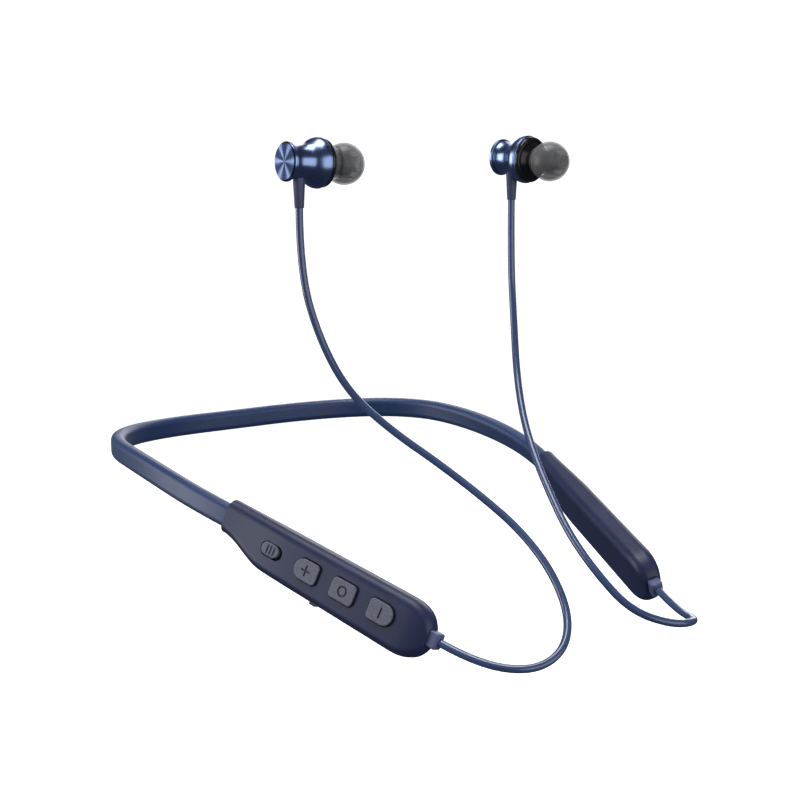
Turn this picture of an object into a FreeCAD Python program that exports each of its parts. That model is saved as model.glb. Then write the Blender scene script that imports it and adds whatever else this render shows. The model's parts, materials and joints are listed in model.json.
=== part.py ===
import FreeCAD, Part
import math
import os

# Neckband earphones, in millimetres.
# The origin is the middle of the band's inner face at the back of the neck. +Z is up, +X is the
# wearer's left, and the two arms run forwards along -Y. The control housing is at the wearer's
# right (-X), the battery housing at the left (+X). Both housings are drawn as the left one, in a
# local frame (x forwards, y outwards, z up), and the right one is the mirror image.

# Band
BAND_HEIGHT = 6.6
BAND_THICKNESS = 4.4
BAND_EDGE = 1.7
BAND_PLAN = [(12.5, 0), (27.5, 55.0), (41.0, 43.0), (32.0, 200.0), (25.0, 104.0)]  # length, radius
BAND_RISE = 6.5            # degrees the band climbs as it leaves the neck
BAND_SIDE_RADIUS = 268.0   # bow of the band seen from the side
COLLAR_LEAN = 17.0         # degrees the housings lean, top towards the neck
LEAN_START = 70.0          # distance along the half band where the lean begins
NOD = 1.2                  # degrees the housings point below the band's line
NOD_START = 110.0
BAND_TAIL = 7.5            # length of the band's end inside the housing's neck
BAND_STEPS = 21            # cross-sections along half of the band
DUCT = (3.2, 2.2)          # height and width of the duct in the band
SPRING = (2.6, 0.7, -0.6)  # height and thickness of the spring strip, and its place across the duct
WIRES = (2.4, 0.7, 0.5)    # the same for the flat bundle of wires

# Housings
WALL = 1.0
NECK_X = 1.5
NOSE_X = 73.4
NOSE_LIMIT = 74.0          # where the nose's curve would close
NOSE_ROUND = 10.0          # length over which the nose rounds in
NOSE_POWER = 2.4
NECK_HALF_THICKNESS = 2.9
HALF_THICKNESS = 3.7
THICKENS_OVER = (2.0, 27.0)
TOP_Z = 5.1
NECK_BOTTOM_Z = -4.5
BOTTOM_Z = -8.7
DEEPENS_OVER = (1.5, 19.0)
BOTTOM_SLOPE = 0.026       # fall of the lower face for each millimetre beyond
CORNER = 2.6
CAVITY_X = (10.0, 71.2)
BEYOND = 20.0              # a reach that clears the housing on every side
FIT = 0.1                  # gap round pieces that are assembled and stay still
SLIP = 0.25                # gap round pieces that move

# Controls of the right housing
CONTROL_Z = -1.8
KEY_SIZE = (8.0, 5.7)      # length and height of a key
KEY_STAND = 0.7            # how far a key stands out of the shell
KEY_EDGE = 0.35            # rounding of a key's face
KEY_CORNER = 1.2
KEY_TRAVEL = 0.3
KEY_REST_GAP = 0.05        # gap that is left over the pad when a key is pressed
KEY_X = {"button_plus": 33.9, "button_multi": 46.7, "button_minus": 59.5}
FLANGE = (0.55, 0.4)       # how far a key's flange stands out, and its thickness
SLIDER_X = 20.8
SLIDER_LENGTH = 6.0
SLIDER_TRAVEL = 1.2
SLOT = (SLIDER_LENGTH + SLIDER_TRAVEL + 2 * SLIP, 4.1)
SLIDER_BACK_Y = 2.3
SLIDER_EDGE = 0.25
RIB = (0.5, 0.45, 2.4)     # length, depth and height of a grip rib
RIB_STEP = 1.1
SLIDER_FOOT = (1.0, 0.45, 1.4)
SWITCH_CASE = (6.6, 0.9, 2.8)
SWITCH_LEG = (0.4, 0.3, 0.5)
SWITCH_LEG_STEP = 2.0
GLYPH = (3.0, 0.5, 0.25)   # size, line width and depth of the signs on the keys

# Main board, in the right housing
BOARD_X = (16.0, 67.5)
BOARD_Y = (0.35, 0.95)
BOARD_Z = (-6.7, 3.4)
SCREW_PLACES = [(27.2, 2.0), (64.4, -5.2)]
SCREW_R = 0.7
SCREW_HEAD = (1.25, 0.6)   # radius and height
SCREW_END_Y = -2.4
SCREW_SLOT = (0.3, 0.25, 1.7)
POST_R = 1.7
DOME = (1.9, 1.05, 0.35)    # radius at its foot and top, and height, of a key's dome switch
PAD_Y = (1.6, 1.9)
PAD_HEIGHT = 5.8
PAD_END = 4.2              # how far the pad runs past the middle of the end keys
NUB = (0.9, 0.25)          # radius and height of the pad's nub over a dome
CHIP = (6.0, 0.85, 6.0)
CHIP_PLACE = (54.0, -1.5)
MICROPHONE = (3.0, 1.0, 2.2)
MICROPHONE_PLACE = (64.8, 0.6)
KEY_BACK_Y = PAD_Y[1] + KEY_TRAVEL + KEY_REST_GAP

# Charging port and its cover
PORT_X = 40.3
SOCKET = (8.9, 3.1, 6.0)   # width, thickness and depth
SOCKET_WALL = 0.3
SOCKET_ROUND = (1.2, 0.9)  # rounding of the socket outside and inside
TONGUE = (6.4, 0.7, 1.3)   # width, thickness, and how far it lies behind the mouth
COVER_X = (34.7, 46.4)     # the cover's free end and its hinge
COVER_HALF = 2.4
COVER_TOP_Z = -8.3
COVER_HINGE_Z = -8.85
COVER_BEAD_R = 0.4         # the rubber bead that the cover turns on
COVER_PLUG = (7.2, 1.7, 1.0)
COVER_LIP = (36.6, 2.0, 2.6, 0.7)  # place, length, width and depth of the thumb lip
PORT_FRAME = (1.2, 1.8, -6.9)      # walls past the cover's ends, and the top of the solid block there

# Battery housing
CELL_X = (21.0, 63.0)
CELL_Y = (-2.0, 2.0)
CELL_Z = (-7.0, 3.4)
CELL_ROUND = 1.4
SAFETY_BOARD = (7.0, 0.8, 7.0)
SAFETY_BOARD_PLACE = (16.0, -0.8)
LEAD_R = 0.45
LEAD_Z = (-2.6, 0.8)
TAPE = (4.0, 0.35, 7.0)    # how far it stops short of the cell's ends, its thickness and height

# Glands in the noses
GLAND_X = (72.8, 76.2)
GLAND_SIZE = (3.4, 4.3)
GLAND_Z = -2.0
GLAND_EDGE = 0.6
GLAND_STEM_R = 1.3
GLAND_INNER_X = 69.4
GLAND_LUG = (2.0, 0.8)     # radius and length of the lug that holds the gland

# Cords: hand-laid routes from the strain relief of the bud to the gland, left and right
CORD_D = 2.1
LEFT_ROUTE = [
    (36.3, -101.5, 77.9), (36.3, -101.5, 60.0), (33.0, -107.2, 42.0), (27.7, -114.9, 28.4),
    (21.5, -125.2, 17.3), (16.5, -135.8, 8.8), (12.4, -147.0, 0.6), (9.2, -158.7, -8.2),
    (8.8, -170.0, -16.4), (11.4, -180.4, -24.6), (19.4, -188.0, -28.0), (30.0, -187.2, -29.1),
    (35.2, -174.7, -30.7)]
RIGHT_ROUTE = [
    (-38.4, -101.5, 77.2), (-38.4, -101.5, 60.0), (-35.4, -106.3, 41.8), (-30.6, -113.5, 27.3),
    (-23.4, -124.6, 17.4), (-17.4, -134.8, 10.7), (-11.8, -147.2, 2.8), (-8.0, -158.8, -4.6),
    (-7.0, -170.3, -13.2), (-9.4, -180.0, -22.4), (-16.4, -185.6, -28.9), (-26.6, -185.0, -31.8),
    (-35.2, -174.7, -30.7)]
ROUTES = {"left": LEFT_ROUTE, "right": RIGHT_ROUTE}
RUN_SHARE = 0.45           # share of the shorter run that a bend may use

# Earbuds, along the local axis from the cap's face to the ear tip
BUD_RISE = 12.3            # height of the bud's axis over the foot of its strain relief
BUD_HEADING = {"left": (0.15, -0.99), "right": (1.0, 0.0)}
BUD_DROOP = {"left": 3.5, "right": 2.3}
CAP_R = 5.35
CAP_X = 1.2
WAIST_R = 4.5
FLARE_R = 6.95
SHELL_X = (1.5, 11.4)
RELIEF_X = 4.6
RELIEF_R = (1.3, 1.7)      # radius at its foot and at the shell
RELIEF_LENGTH = 8.0
RELIEF_COLLAR = 0.9        # length of the collar in the shell's wall
RELIEF_LUG = (0.5, 0.6)    # how far the lug stands out inside the shell, and its length
BARB_R = 3.05
TUBE_R = (1.9, 2.7)
TIP_CENTRE_X = 19.2
TIP_R = 5.75
TIP_WALL = 0.55
TIP_BORE_R = 3.12
TIP_STEM_R = 3.85
TIP_X = (14.2, 20.6)       # the tip's bore
TIP_REAR_R = 4.6

V = FreeCAD.Vector
NODES = {}


# ---------------------------------------------------------------- helpers

def box(x, y, z):
    """A block between two limits along each axis."""
    return Part.makeBox(x[1] - x[0], y[1] - y[0], z[1] - z[0], V(x[0], y[0], z[0]))


def rod(radius, start, end):
    """A round bar between two points."""
    line = V(*end) - V(*start)
    return Part.makeCylinder(radius, line.Length, V(*start), line)


def join(shapes):
    """Several overlapping solids made into one."""
    first = shapes[0]
    return first.fuse(shapes[1:]).removeSplitter() if len(shapes) > 1 else first


def smooth(value, limits):
    """0 before the limits, 1 after them, with a smooth change between."""
    t = min(1.0, max(0.0, (value - limits[0]) / (limits[1] - limits[0])))
    return t * t * (3 - 2 * t)


def rounded_outline(y, z, radius, x=0.0):
    """A rectangle with round corners, across the x axis."""
    edges = []
    bend = radius * (1 - math.sqrt(0.5))
    y0, y1, z0, z1 = y[0], y[1], z[0], z[1]
    corners = [((y0, z0 + radius), (y0 + bend, z0 + bend), (y0 + radius, z0)),
               ((y1 - radius, z0), (y1 - bend, z0 + bend), (y1, z0 + radius)),
               ((y1, z1 - radius), (y1 - bend, z1 - bend), (y1 - radius, z1)),
               ((y0 + radius, z1), (y0 + bend, z1 - bend), (y0, z1 - radius))]
    for index, corner in enumerate(corners):
        start, middle, end = [V(x, *point) for point in corner]
        following = V(x, *corners[(index + 1) % 4][0])
        edges.append(Part.Arc(start, middle, end).toShape())
        edges.append(Part.makeLine(end, following))
    return Part.Wire(edges)


def turned(points):
    """A solid turned about the x axis from (x, radius) points. A point marked 'arc' bends its line."""
    edges = []
    last = None
    middle = None
    for point in points + [points[0]]:
        place = V(point[0], point[1], 0)
        if len(point) == 3:
            middle = place
            continue
        if middle is not None:
            edges.append(Part.Arc(last, middle, place).toShape())
            middle = None
        elif last is not None and place.distanceToPoint(last) > 1e-6:
            edges.append(Part.makeLine(last, place))
        last = place
    face = Part.Face(Part.Wire(edges))
    return face.revolve(V(0, 0, 0), V(1, 0, 0), 360)


def soften(shape, radius, wanted):
    """Round the edges whose middle passes a test."""
    edges = [edge for edge in shape.Edges if wanted(edge.CenterOfMass, edge)]
    return shape.makeFillet(radius, edges)


# ---------------------------------------------------------------- the band's path

def side_arc(forward):
    """Height and slope of the band's middle line at a distance in front of the neck."""
    rise = math.radians(BAND_RISE)
    ahead = forward - BAND_SIDE_RADIUS * math.sin(rise)
    drop = math.sqrt(BAND_SIDE_RADIUS ** 2 - ahead ** 2)
    return drop - BAND_SIDE_RADIUS * math.cos(rise), -ahead / drop


def plan_point(distance):
    """Place and heading of the left half of the band from above, and the length left over."""
    x, y, heading = 0.0, BAND_THICKNESS / 2, 0.0
    left = distance
    for length, radius in BAND_PLAN:
        step = min(left, length)
        if radius == 0:
            x += step
        else:
            turn = step / radius
            x += radius * (math.sin(heading + turn) - math.sin(heading))
            y -= radius * (math.cos(heading) - math.cos(heading + turn))
            heading += turn
        left -= step
    return x, y, heading, left


def band_frame(distance):
    """Placement of the band's cross-section: x along the band, y outwards, z up."""
    x, y, heading, left = plan_point(distance)
    height, slope = side_arc(BAND_THICKNESS / 2 - y)
    forward = V(math.cos(heading), -math.sin(heading), slope * math.sin(heading))
    forward.normalize()
    level = V(math.sin(heading), math.cos(heading), 0)
    outward = level - forward * level.dot(forward)
    outward.normalize()
    nod = NOD * smooth(distance, (NOD_START, HALF_BAND))
    forward = FreeCAD.Rotation(outward, nod).multVec(forward)
    point = V(x, y, height) + forward * left
    lean = COLLAR_LEAN * smooth(distance, (LEAN_START, HALF_BAND))
    outward = FreeCAD.Rotation(forward, lean).multVec(outward)
    upward = forward.cross(outward)
    return FreeCAD.Placement(point, FreeCAD.Rotation(forward, outward, upward, "XYZ"))


HALF_BAND = sum(length for length, radius in BAND_PLAN)
LEFT = band_frame(HALF_BAND)


def place_left(shape):
    """A piece drawn in the housing's frame, put at the wearer's left."""
    moved = shape.copy()
    moved.transformShape(LEFT.toMatrix())
    return moved


def place_right(shape):
    """The mirror image, at the wearer's right."""
    return mirrored(place_left(shape))


def mirrored(shape):
    """The other side's copy of a piece."""
    return shape.mirror(V(0, 0, 0), V(1, 0, 0))


def band_bar(y, z, radius, end):
    """A bar along the whole band, made as two halves that join at the back of the neck."""
    wires = []
    for index in range(BAND_STEPS + 1):
        wire = rounded_outline(y, z, radius)
        wire.transformShape(band_frame(end * index / BAND_STEPS).toMatrix())
        wires.append(wire)
    half = Part.makeLoft(wires, True, False)
    return half.fuse(mirrored(half)).removeSplitter()


def make_band():
    """The rubber band, with the spring strip and the flat wires in its duct."""
    end = HALF_BAND + BAND_TAIL
    sleeve = band_bar(span(BAND_THICKNESS), span(BAND_HEIGHT), BAND_EDGE, end)
    duct = band_bar(span(DUCT[1]), span(DUCT[0]), 0.3, end)
    NODES["band_sleeve"] = sleeve.cut(duct)
    for name, (height, thick, place) in (("band_spring", SPRING), ("band_wires", WIRES)):
        NODES[name] = band_bar(span(thick, place), span(height), 0.2, end)


def span(size, middle=0.0):
    """The two limits of a size about its middle."""
    return middle - size / 2, middle + size / 2


# ---------------------------------------------------------------- housings

def bottom_z(x):
    """Height of a housing's lower face at a place along it."""
    deep = NECK_BOTTOM_Z + (BOTTOM_Z - NECK_BOTTOM_Z) * smooth(x, DEEPENS_OVER)
    return deep - BOTTOM_SLOPE * max(0.0, x - DEEPENS_OVER[1])


def body_section(x, inset):
    """Cross-section of a housing. The inset makes the room inside it."""
    nose = max(0.0, (x + inset - NOSE_LIMIT + NOSE_ROUND) / NOSE_ROUND)
    closing = (1 - nose ** NOSE_POWER) ** (1 / NOSE_POWER)
    low = bottom_z(x)
    half_height = (TOP_Z - low) / 2 * closing - inset
    middle = (TOP_Z + low) / 2
    thick = NECK_HALF_THICKNESS + (HALF_THICKNESS - NECK_HALF_THICKNESS) * smooth(x, THICKENS_OVER)
    half_thick = thick * (0.35 + 0.65 * closing) - inset
    radius = min(CORNER - inset, 0.9 * half_thick, 0.9 * half_height)
    return rounded_outline((-half_thick, half_thick), span(2 * half_height, middle), radius, x)


def body(start, end, inset):
    """A housing's outer form, or the room inside it, between two places along it."""
    straight = NOSE_LIMIT - NOSE_ROUND
    places = [start + (straight - start) * (index / 14) ** 1.4 for index in range(15)]
    nose = end - straight
    places += [straight + nose * math.sin(math.pi / 2 * index / 7) for index in range(1, 8)]
    return Part.makeLoft([body_section(x, inset) for x in places], True, False)


def make_gland():
    """The cord's gland: a block on the nose, a stem through it and a lug inside."""
    block = box(GLAND_X, span(GLAND_SIZE[0]), span(GLAND_SIZE[1], GLAND_Z))
    block = soften(block, GLAND_EDGE, lambda middle, edge: middle.x > GLAND_X[0] + 0.01)
    stem = rod(GLAND_STEM_R, (GLAND_INNER_X, 0, GLAND_Z), (GLAND_X[0] + 1, 0, GLAND_Z))
    lug = rod(GLAND_LUG[0], (GLAND_INNER_X, 0, GLAND_Z), (GLAND_INNER_X + GLAND_LUG[1], 0, GLAND_Z))
    return join([block, stem, lug])


def make_shells(side, place, solid_blocks=(), face_cuts=(), cuts=(), posts=()):
    """Outer and inner shell of a housing, meeting on its middle plane, and its gland."""
    form = body(NECK_X, NOSE_X, 0.0)
    room = body(CAVITY_X[0], CAVITY_X[1], WALL)
    for block in solid_blocks:
        room = room.cut(block)
    seat = box((NECK_X - 1, BAND_TAIL + FIT), span(BAND_THICKNESS + FIT), span(BAND_HEIGHT + FIT))
    seat = soften(seat, BAND_EDGE, lambda middle, edge: abs(edge.tangentAt(0).x) > 0.9)
    passage = box((BAND_TAIL, CAVITY_X[0] + 1), span(DUCT[1]), span(DUCT[0]))
    gland = make_gland()
    hollow = form.cut([room, seat, passage, gland, *cuts])
    reach = (-NOSE_X, 2 * NOSE_X)
    outer = hollow.common(box(reach, (0, BEYOND), (-BEYOND, BEYOND)))
    inner = join([hollow.common(box(reach, (-BEYOND, 0), (-BEYOND, BEYOND))), *posts])
    for cut in face_cuts:
        outer = outer.cut(cut)
    NODES[side + "_outer_shell"] = place(outer)
    NODES[side + "_inner_shell"] = place(inner)
    NODES[side + "_gland"] = place(gland)


def key_outline(name, grow):
    """Outline of a key seen from outside: round at one end for plus and minus."""
    half_x, half_z = KEY_SIZE[0] / 2 + grow, KEY_SIZE[1] / 2 + grow
    plain = KEY_CORNER + grow
    rear = half_z - 0.01 if name == "button_plus" else plain
    front = half_z - 0.01 if name == "button_minus" else plain
    x0, x1 = KEY_X[name] - half_x, KEY_X[name] + half_x
    z0, z1 = CONTROL_Z - half_z, CONTROL_Z + half_z
    corners = [(x0, z0, rear, 1, 1), (x1, z0, front, -1, 1),
               (x1, z1, front, -1, -1), (x0, z1, rear, 1, -1)]
    arcs = []
    for index, (x, z, radius, to_x, to_z) in enumerate(corners):
        bend = radius * (1 - math.sqrt(0.5))
        on_x = V(x + to_x * radius, 0, z)
        on_z = V(x, 0, z + to_z * radius)
        start, end = (on_z, on_x) if index % 2 == 0 else (on_x, on_z)
        arcs.append((start, V(x + to_x * bend, 0, z + to_z * bend), end))
    edges = []
    for arc, following in zip(arcs, arcs[1:] + arcs[:1]):
        edges.append(Part.Arc(*arc).toShape())
        edges.append(Part.makeLine(arc[2], following[0]))
    return Part.Wire(edges)


def key_block(name, grow, y):
    """A key's outline raised between two places across the housing."""
    face = Part.Face(key_outline(name, grow))
    face.translate(V(0, y[0], 0))
    return face.extrude(V(0, y[1] - y[0], 0))


def glyph(name, y):
    """The sign cut into a key: a plus, a ring or a bar across."""
    size, line, depth = GLYPH
    x = KEY_X[name]
    low, high = y - depth, y + 1
    if name == "button_multi":
        ring = rod(size / 2, (x, low, CONTROL_Z), (x, high, CONTROL_Z))
        return ring.cut(rod(size / 2 - line, (x, low, CONTROL_Z), (x, high, CONTROL_Z)))
    bar = box(span(line, x), (low, high), span(size, CONTROL_Z))
    if name == "button_minus":
        return bar
    return join([bar, box(span(size, x), (low, high), span(line, CONTROL_Z))])


def make_keys():
    """The three keys, each with a flange that keeps it behind the shell."""
    face_y = HALF_THICKNESS + KEY_STAND
    for name in KEY_X:
        cap = key_block(name, 0.0, (KEY_BACK_Y, face_y))
        cap = soften(cap, KEY_EDGE, lambda middle, edge: abs(middle.y - face_y) < 0.01)
        flange = key_block(name, FLANGE[0], (KEY_BACK_Y, KEY_BACK_Y + FLANGE[1]))
        key = cap.fuse(flange).removeSplitter().cut(glyph(name, face_y))
        NODES[name] = place_right(key)


def slot_block(length, height, x, y):
    """A round-ended bar between two places across the housing."""
    radius = height / 2
    reach = length / 2 - radius
    ends = [rod(radius, (x + side * reach, y[0], CONTROL_Z), (x + side * reach, y[1], CONTROL_Z))
            for side in (-1, 1)]
    return join(ends + [box((x - reach, x + reach), y, span(height, CONTROL_Z))])


def make_slider():
    """The power slider's knob with three grip ribs, and the switch it drives."""
    rest_x = SLIDER_X - SLIDER_TRAVEL / 2
    face_y = HALF_THICKNESS - 0.1
    knob = slot_block(SLIDER_LENGTH, SLOT[1] - 2 * SLIP, rest_x, (SLIDER_BACK_Y, face_y))
    knob = soften(knob, SLIDER_EDGE, lambda middle, edge: abs(middle.y - face_y) < 0.01)
    length, depth, height = RIB
    ribs = [box(span(length, rest_x + step), (face_y - 0.1, face_y - 0.1 + depth), span(height, CONTROL_Z))
            for step in (-RIB_STEP, 0.0, RIB_STEP)]
    length, depth, height = SLIDER_FOOT
    foot_y = (SLIDER_BACK_Y + 0.1 - depth, SLIDER_BACK_Y + 0.1)
    foot = box(span(length, rest_x), foot_y, span(height, CONTROL_Z))
    NODES["power_slider"] = place_right(join([knob, foot] + ribs))
    length, depth, height = SWITCH_CASE
    case = box(span(length, SLIDER_X), (BOARD_Y[1], BOARD_Y[1] + depth), span(height, CONTROL_Z))
    length, depth, height = SWITCH_LEG
    legs = [box(span(length, SLIDER_X + step), (BOARD_Y[0] - depth, BOARD_Y[1]), span(height, CONTROL_Z))
            for step in (-SWITCH_LEG_STEP, 0.0, SWITCH_LEG_STEP)]
    NODES["slide_switch"] = place_right(join([case] + legs))
    return legs


def port_parts():
    """The solid block round the charging port, and the room for the cover and the plug."""
    outside = (-BEYOND, COVER_TOP_Z + SLIP)
    rear, front, top = PORT_FRAME
    block_x = (COVER_X[0] - rear, COVER_X[1] + front)
    block = box(block_x, span(2 * HALF_THICKNESS), (outside[0], top))
    recess_x = (COVER_X[0] - SLIP, COVER_X[1] + COVER_BEAD_R + SLIP)
    recess = box(recess_x, span(2 * (COVER_HALF + SLIP)), outside)
    mouth = box(span(SOCKET[0] + FIT, PORT_X), span(SOCKET[1] + FIT), (COVER_TOP_Z, top + 0.5))
    return block, recess, mouth


def make_port():
    """The charging socket and the rubber cover that swings away from it."""
    width, thick, depth = SOCKET
    z0 = COVER_TOP_Z + SLIP
    along_z = lambda middle, edge: abs(edge.tangentAt(0).z) > 0.9
    case = soften(box(span(width, PORT_X), span(thick), (z0, z0 + depth)), SOCKET_ROUND[0], along_z)
    mouth = box(span(width - 2 * SOCKET_WALL, PORT_X), span(thick - 2 * SOCKET_WALL),
                (z0 - 1, z0 + depth - 2 * SOCKET_WALL))
    mouth = soften(mouth, SOCKET_ROUND[1], along_z)
    tongue = box(span(TONGUE[0], PORT_X), span(TONGUE[1]), (z0 + TONGUE[2], z0 + depth))
    NODES["charging_socket"] = place_right(join([case.cut(mouth), tongue]))
    form = body(NECK_X, NOSE_X, 0.0)
    plate = form.common(box(COVER_X, span(2 * COVER_HALF), (-BEYOND, COVER_TOP_Z)))
    bead = form.common(rod(COVER_BEAD_R, (COVER_X[1], -COVER_HALF, COVER_HINGE_Z),
                           (COVER_X[1], COVER_HALF, COVER_HINGE_Z)))
    width, thick, depth = COVER_PLUG
    plug = box(span(width, PORT_X), span(thick), (COVER_TOP_Z - 0.2, COVER_TOP_Z + depth))
    lip_x, length, width, depth = COVER_LIP
    foot_z = bottom_z(lip_x) - depth
    lip = box((lip_x, lip_x + length), span(width), (foot_z, foot_z + depth + 0.4))
    lip = soften(lip, 0.3, lambda middle, edge: middle.z < foot_z + 0.1)
    NODES["port_cover"] = place_right(join([plate, bead, plug, lip]))


def make_board(legs):
    """The main board with what is soldered to it, and the two screws that hold it."""
    back_y, front_y = BOARD_Y
    board = box(BOARD_X, BOARD_Y, BOARD_Z)
    socket_top = COVER_TOP_Z + SLIP + SOCKET[2] + FIT
    socket_room = box(span(SOCKET[0] + 2 * FIT, PORT_X), span(2 * HALF_THICKNESS),
                      (BOARD_Z[0] - 1, socket_top))
    holes = [rod(SCREW_R + FIT, (x, back_y - 1, z), (x, front_y + 1, z)) for x, z in SCREW_PLACES]
    NODES["main_board"] = place_right(board.cut([socket_room] + holes + legs))
    foot_r, top_r, height = DOME
    domes = [Part.makeCone(foot_r, top_r, height, V(x, front_y, CONTROL_Z), V(0, 1, 0))
             for x in KEY_X.values()]
    NODES["dome_switches"] = place_right(Part.makeCompound(domes))
    pad_x = (KEY_X["button_plus"] - PAD_END, KEY_X["button_minus"] + PAD_END)
    pad = box(pad_x, PAD_Y, span(PAD_HEIGHT, CONTROL_Z))
    nubs = [rod(NUB[0], (x, PAD_Y[0] - NUB[1], CONTROL_Z), (x, PAD_Y[1], CONTROL_Z))
            for x in KEY_X.values()]
    NODES["button_pad"] = place_right(join([pad] + nubs))
    chips = {"radio_chip": (CHIP, CHIP_PLACE), "microphone": (MICROPHONE, MICROPHONE_PLACE)}
    for name, (size, place) in chips.items():
        block = box(span(size[0], place[0]), (back_y - size[1], back_y), span(size[2], place[1]))
        NODES[name] = place_right(block)
    NODES["board_screws"] = place_right(Part.makeCompound([board_screw(x, z) for x, z in SCREW_PLACES]))


def board_screw(x, z):
    """A screw through the board into its post, with a slot in its head."""
    top_y = BOARD_Y[1] + SCREW_HEAD[1]
    head = rod(SCREW_HEAD[0], (x, BOARD_Y[1], z), (x, top_y, z))
    shank = rod(SCREW_R, (x, SCREW_END_Y, z), (x, top_y - SCREW_SLOT[1], z))
    slot = box(span(SCREW_SLOT[0], x), (top_y - SCREW_SLOT[1], top_y + 1), span(SCREW_SLOT[2], z))
    return join([head, shank]).cut(slot)


def screw_post(x, z):
    """A post of the inner shell that the board rests on, with its screw's hole."""
    post = rod(POST_R, (x, WALL / 2 - HALF_THICKNESS, z), (x, BOARD_Y[0], z))
    return post.cut(rod(SCREW_R, (x, SCREW_END_Y, z), (x, BOARD_Y[1], z)))


def make_right_housing():
    """The control housing."""
    block, recess, mouth = port_parts()
    through = (0.5, BEYOND)
    windows = [key_block(name, SLIP, through) for name in KEY_X]
    windows.append(slot_block(SLOT[0], SLOT[1], SLIDER_X, through))
    posts = [screw_post(x, z) for x, z in SCREW_PLACES]
    make_shells("right", place_right, [block], windows, [recess, mouth], posts)
    make_keys()
    make_port()
    make_board(make_slider())


def make_left_housing():
    """The battery housing."""
    make_shells("left", place_left)
    cell = box(CELL_X, CELL_Y, CELL_Z)
    cell = soften(cell, CELL_ROUND, lambda middle, edge: abs(edge.tangentAt(0).x) > 0.9)
    NODES["battery_cell"] = place_left(cell)
    short, thick, height = TAPE
    tape_x = (CELL_X[0] + short, CELL_X[1] - short)
    tape = box(tape_x, (CELL_Y[1], CELL_Y[1] + thick), span(height, sum(CELL_Z) / 2))
    NODES["battery_tape"] = place_left(tape)
    board_x = span(SAFETY_BOARD[0], SAFETY_BOARD_PLACE[0])
    board = box(board_x, span(SAFETY_BOARD[1]), span(SAFETY_BOARD[2], SAFETY_BOARD_PLACE[1]))
    NODES["safety_board"] = place_left(board)
    leads = [rod(LEAD_R, (board_x[1], 0, z), (CELL_X[0], 0, z)) for z in LEAD_Z]
    NODES["battery_leads"] = place_left(Part.makeCompound(leads))


# ---------------------------------------------------------------- earbuds

def bud_placement(side):
    """Placement of a bud: x from its cap towards its tip, over the top of its strain relief."""
    start = V(*ROUTES[side][0])
    heading = V(*BUD_HEADING[side], 0)
    heading.normalize()
    across = V(0, 0, 1).cross(heading)
    forward = FreeCAD.Rotation(across, BUD_DROOP[side]).multVec(heading)
    upward = forward.cross(across)
    point = start + V(0, 0, BUD_RISE) - forward * RELIEF_X
    return FreeCAD.Placement(point, FreeCAD.Rotation(forward, across, upward, "XYZ"))


def bud_shell():
    """The turned metal shell: a narrow waist that flares to the front."""
    start, end = SHELL_X
    outside = [V(start, WAIST_R + 0.3, 0), V(3.2, WAIST_R, 0), V(5.6, WAIST_R + 0.3, 0),
               V(7.6, 5.75, 0), V(9.3, 6.75, 0), V(10.5, FLARE_R, 0)]
    inside = [V(9.6, 5.95, 0), V(8.2, 5.2, 0), V(6.4, 4.25, 0), V(4.6, 3.8, 0), V(2.2, 3.75, 0)]
    curve_out = Part.BSplineCurve()
    curve_out.interpolate(outside)
    curve_in = Part.BSplineCurve()
    curve_in.interpolate(inside)
    lip = [V(10.5, FLARE_R, 0), V(11.1, FLARE_R - 0.15, 0), V(end, FLARE_R - 0.5, 0)]
    edges = [Part.makeLine(V(start, 4.2, 0), outside[0]), curve_out.toShape(), Part.Arc(*lip).toShape(),
             Part.makeLine(lip[2], V(end, 5.95, 0)), Part.makeLine(V(end, 5.95, 0), inside[0]),
             curve_in.toShape(), Part.makeLine(inside[4], V(2.2, 4.2, 0)),
             Part.makeLine(V(2.2, 4.2, 0), V(start, 4.2, 0))]
    return Part.Face(Part.Wire(edges)).revolve(V(0, 0, 0), V(1, 0, 0), 360)


def bud_parts():
    """The turned pieces of one bud, in its own frame."""
    end = SHELL_X[1]
    cap = turned([(0, 0), (0, CAP_R - 0.4), (0.12, CAP_R - 0.12, "arc"), (0.4, CAP_R),
                  (CAP_X, CAP_R), (CAP_X, 4.2), (2.2, 4.2), (2.2, 3.05), (0.9, 3.05), (0.9, 0)])
    magnet = turned([(0.9, 0), (0.9, 2.95), (2.3, 2.95), (2.3, 0)])
    driver = turned([(8.3, 0), (8.3, 3.4), (9.4, 3.4), (9.4, 4.8), (11.0, 4.8), (11.0, 0)])
    core, tube = TUBE_R
    front = turned([(10.0, 5.0), (10.0, 5.9), (end, 5.9), (end, FLARE_R - 0.5), (12.3, FLARE_R - 0.6),
                    (12.75, FLARE_R - 0.9), (12.75, 5.2), (13.3, 4.7), (13.9, 3.4), (13.9, tube),
                    (18.4, tube), (18.7, BARB_R), (19.3, BARB_R), (20.3, tube - 0.1),
                    (20.3, core), (12.0, core), (11.2, 4.6), (11.2, 5.0)])
    mesh = turned([(19.9, 0), (19.9, core), (20.15, core), (20.15, 0)])
    return {"bud_shell": bud_shell(), "bud_cap": cap, "bud_magnet": magnet, "bud_driver": driver,
            "bud_nozzle": front, "nozzle_mesh": mesh, "ear_tip": ear_tip()}


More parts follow.
